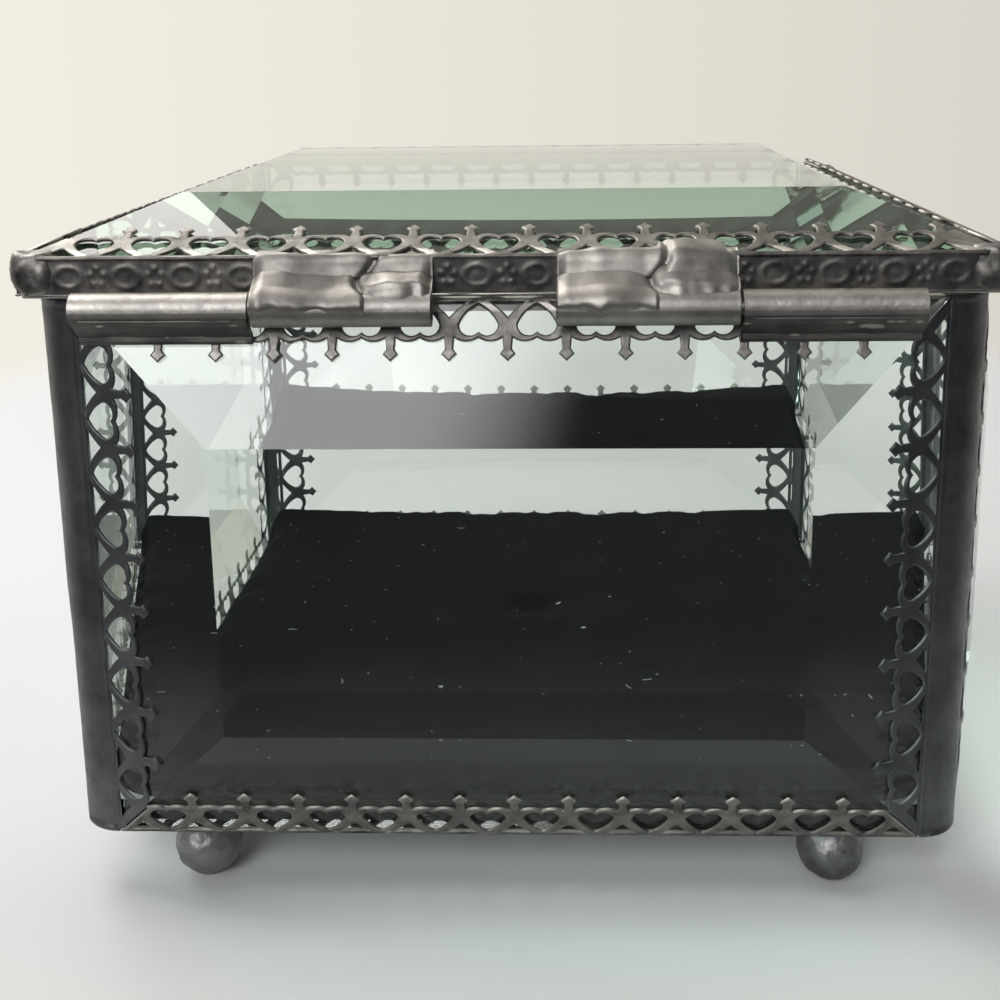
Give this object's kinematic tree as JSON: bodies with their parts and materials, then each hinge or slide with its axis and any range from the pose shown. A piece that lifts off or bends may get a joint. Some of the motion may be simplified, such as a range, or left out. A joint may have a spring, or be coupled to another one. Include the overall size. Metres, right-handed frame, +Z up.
{
  "type": "glass casket box",
  "caption": "Low glass casket with thick bevelled panes in a pierced heart-edged metal strip, a tube-hinged lid, ball feet and a velvet pad.",
  "frame": {"origin": "on the table plane, at the middle of the four walls' plan", "axes": "+Z up; -Y is the hinged rear wall, the side that the picture shows; +X is to the right seen from behind the hinges"},
  "size_m": [0.0974, 0.0962, 0.0693],
  "materials": {
    "clear_glass": "polished plate with polished bevels",
    "stamped_strip": "darkened pewter-coloured plate, rubbed on the high spots",
    "hinge_tube": "tinned and scratched",
    "hinge_pin": "drawn wire",
    "solder": "lumpy hand-laid solder",
    "cast_foot": "rough cast, darkened",
    "card": "dark card",
    "velvet": "short-pile velvet with lint"
  },
  "bodies": {
    "casket": {"rear_glass": "clear_glass", "front_glass": "clear_glass", "left_glass": "clear_glass", "right_glass": "clear_glass", "base_glass": "clear_glass", "bottom_rail_rear": "stamped_strip", "bottom_rail_front": "stamped_strip", "bottom_rail_left": "stamped_strip", "bottom_rail_right": "stamped_strip", "top_rail_rear": "stamped_strip", "top_rail_front": "stamped_strip", "top_rail_left": "stamped_strip", "top_rail_right": "stamped_strip", "corner_post_rear_right": "stamped_strip", "corner_post_front_left": "stamped_strip", "corner_post_front_right": "stamped_strip", "corner_post_rear_left": "stamped_strip", "box_hinge_tube_left": "hinge_tube", "hinge_pin_left": "hinge_pin", "box_solder_left": "solder", "box_hinge_tube_right": "hinge_tube", "hinge_pin_right": "hinge_pin", "box_solder_right": "solder", "foot_rear_right": "cast_foot", "foot_front_left": "cast_foot", "foot_front_right": "cast_foot", "foot_rear_left": "cast_foot", "pad_board": "card", "velvet_pad": "velvet"},
    "lid": {"lid_glass": "clear_glass", "lid_rail_rear": "stamped_strip", "lid_rail_front": "stamped_strip", "lid_rail_left": "stamped_strip", "lid_rail_right": "stamped_strip", "lid_hinge_tube_left": "hinge_tube", "lid_solder_left": "solder", "lid_hinge_tube_right": "hinge_tube", "lid_solder_right": "solder"}
  },
  "joints": [
    {"name": "lid_hinge", "type": "hinge", "parent": "casket", "child": "lid", "pos_m": [0, -0.046, 0.0602], "axis": [1, 0, 0], "range_deg": [0, 105]}
  ]
}
